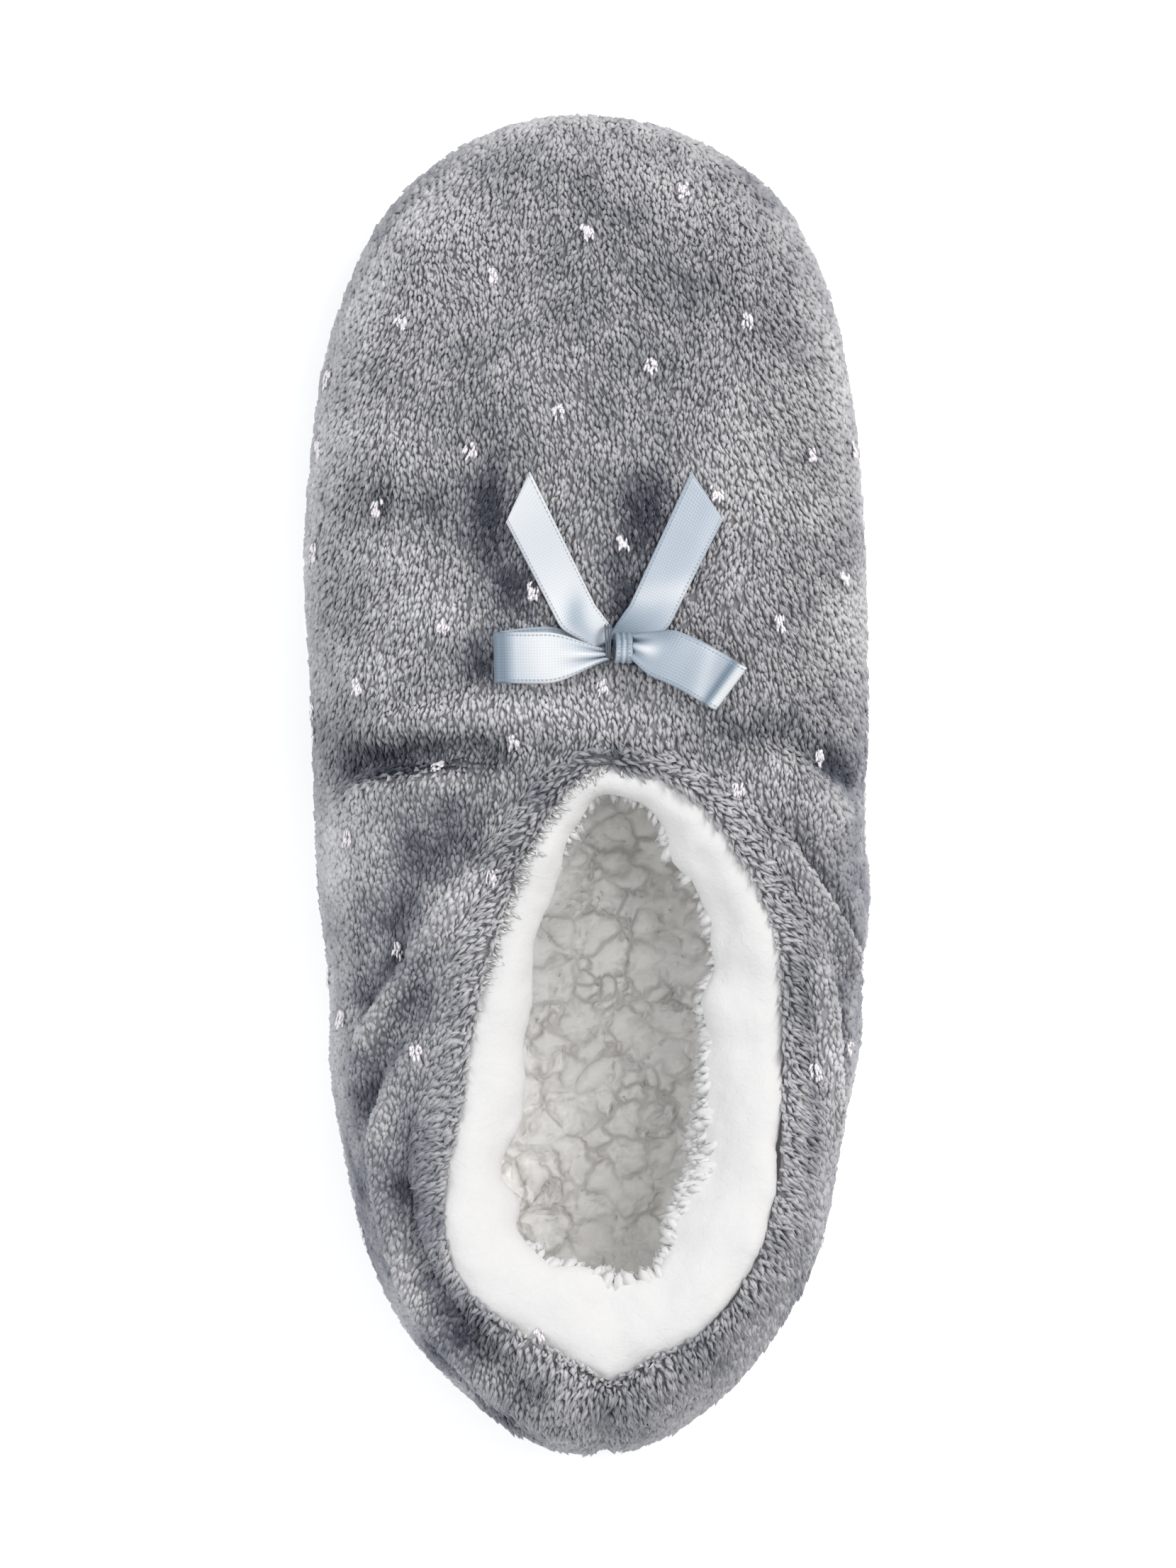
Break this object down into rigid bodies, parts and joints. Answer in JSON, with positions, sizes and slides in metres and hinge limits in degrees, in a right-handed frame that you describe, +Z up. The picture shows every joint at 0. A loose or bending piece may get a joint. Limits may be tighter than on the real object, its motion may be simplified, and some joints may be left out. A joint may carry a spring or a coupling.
{
  "type": "slipper",
  "caption": "Soft plush house slipper with a round collar, sherpa lining, padded insole, soft textile sole and a ribbon bow on the vamp; one shoe, fits either foot.",
  "frame": {"origin": "on the floor, below the middle of the slipper's length and width", "axes": "+Y towards the toe, +X to the right seen from above with the toe away, +Z up"},
  "size_m": [0.1052, 0.25, 0.057],
  "materials": {
    "plush": "short grey plush pile with a soft nap and woven-in silver thread dots",
    "sole_cloth": "grey woven sole cloth with small rubbery grip dots",
    "sherpa": "white curly sherpa pile",
    "satin": "light steel blue satin ribbon with woven edges"
  },
  "bodies": {
    "root": {"upper": "plush", "sole": "sole_cloth", "insole": "sherpa", "bow_knot": "satin", "bow_tail_left": "satin", "bow_tail_right": "satin", "bow_loop_left": "satin", "bow_loop_right": "satin"}
  },
  "joints": []
}
